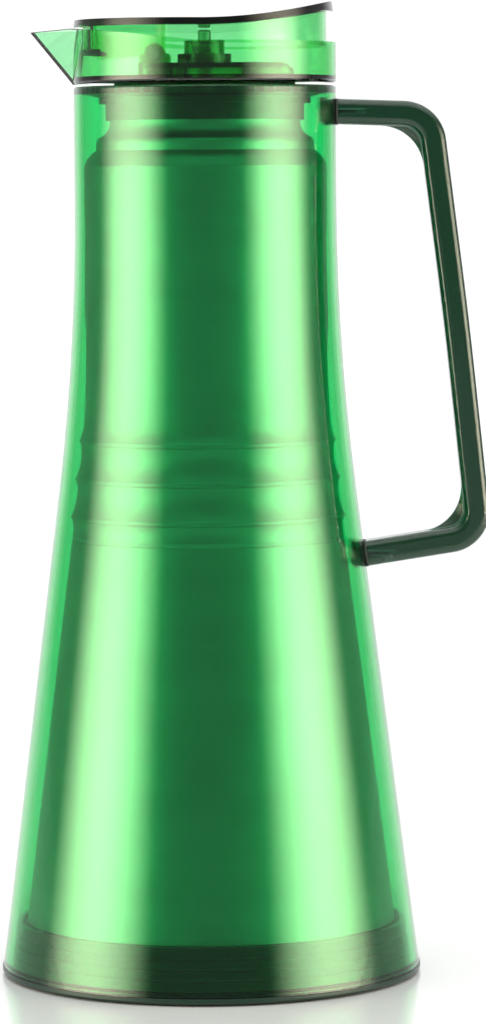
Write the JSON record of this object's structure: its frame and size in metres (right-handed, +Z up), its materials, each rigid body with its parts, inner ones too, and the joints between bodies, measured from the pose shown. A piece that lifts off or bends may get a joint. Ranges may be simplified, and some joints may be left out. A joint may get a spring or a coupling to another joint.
{
  "type": "insulated water jug",
  "caption": "Tall conical double-walled water jug with a clear coloured shell, steel liner, side handle and a screw-on lid whose rocker cap opens a pointed spout.",
  "frame": {"origin": "centre of the underside of the foot pad, on the surface the jug stands on", "axes": "+Z up along the jug's axis, +X to the handle, -X to the spout"},
  "size_m": [0.1517, 0.1298, 0.2992],
  "materials": {
    "clear_green": "clear moulded plastic, tinted bright green, polished",
    "dark_green": "moulded plastic, deep bottle green, slightly see-through, polished",
    "black_plastic": "moulded plastic, very dark green, smooth",
    "rubber": "soft matt silicone",
    "foam": "dark closed-cell foam",
    "satin_steel": "satin, spun around the axis",
    "polished_steel": "electropolished",
    "fastener_steel": "bright stainless",
    "getter": "pressed powder"
  },
  "bodies": {
    "jug": {"outer_shell": "clear_green", "base_cap": "dark_green", "base_gasket": "rubber", "foot_pad": "rubber", "liner_cushion": "foam", "liner_outer_wall": "satin_steel", "liner_inner_wall": "polished_steel", "liner_base_plate": "satin_steel", "vacuum_plug": "satin_steel", "getter": "getter", "neck_collar": "black_plastic", "neck_gasket": "rubber", "handle": "dark_green", "upper_handle_gasket": "rubber", "lower_handle_gasket": "rubber", "upper_handle_anchor": "dark_green", "lower_handle_anchor": "dark_green", "handle_screws": "fastener_steel"},
    "lid_seal": {"lid_gasket": "rubber"},
    "lid": {"pour_ring": "clear_green", "stopper": "black_plastic", "deck": "dark_green", "deck_screws": "fastener_steel", "spring_housing": "dark_green", "pivot_pin": "fastener_steel", "valve_spring": "fastener_steel"},
    "cap": {"cap": "clear_green", "spout_seal": "rubber"},
    "plunger": {"plunger": "black_plastic", "valve_disc": "black_plastic", "valve_seal": "rubber", "stem_clip": "fastener_steel"}
  },
  "joints": [
    {"name": "lid_lift", "type": "slide", "parent": "jug", "child": "lid_seal", "axis": [0, 0, 1], "range_m": [0, 0.0241]},
    {"name": "lid_turn", "type": "hinge", "parent": "lid_seal", "child": "lid", "pos_m": [0, 0, 0.2744], "axis": [0, 0, 1], "range_deg": [0, 720]},
    {"name": "cap_tilt", "type": "hinge", "parent": "lid", "child": "cap", "pos_m": [-0.0151, 0, 0.2834], "axis": [0, 1, 0], "range_deg": [0, 6.5], "stiffness_Nm_per_rad": 0.3, "springref_deg": -8.59},
    {"name": "plunger_slide", "type": "slide", "parent": "lid", "child": "plunger", "axis": [0, 0, -1], "range_m": [0, 0.0018], "deforming": ["valve_spring"]}
  ],
  "couplings": [
    {"joint": "lid_lift", "follows": "lid_turn", "m_per_rad": 0.0019099},
    {"joint": "plunger_slide", "follows": "cap_tilt", "m_per_rad": 0.0151}
  ]
}
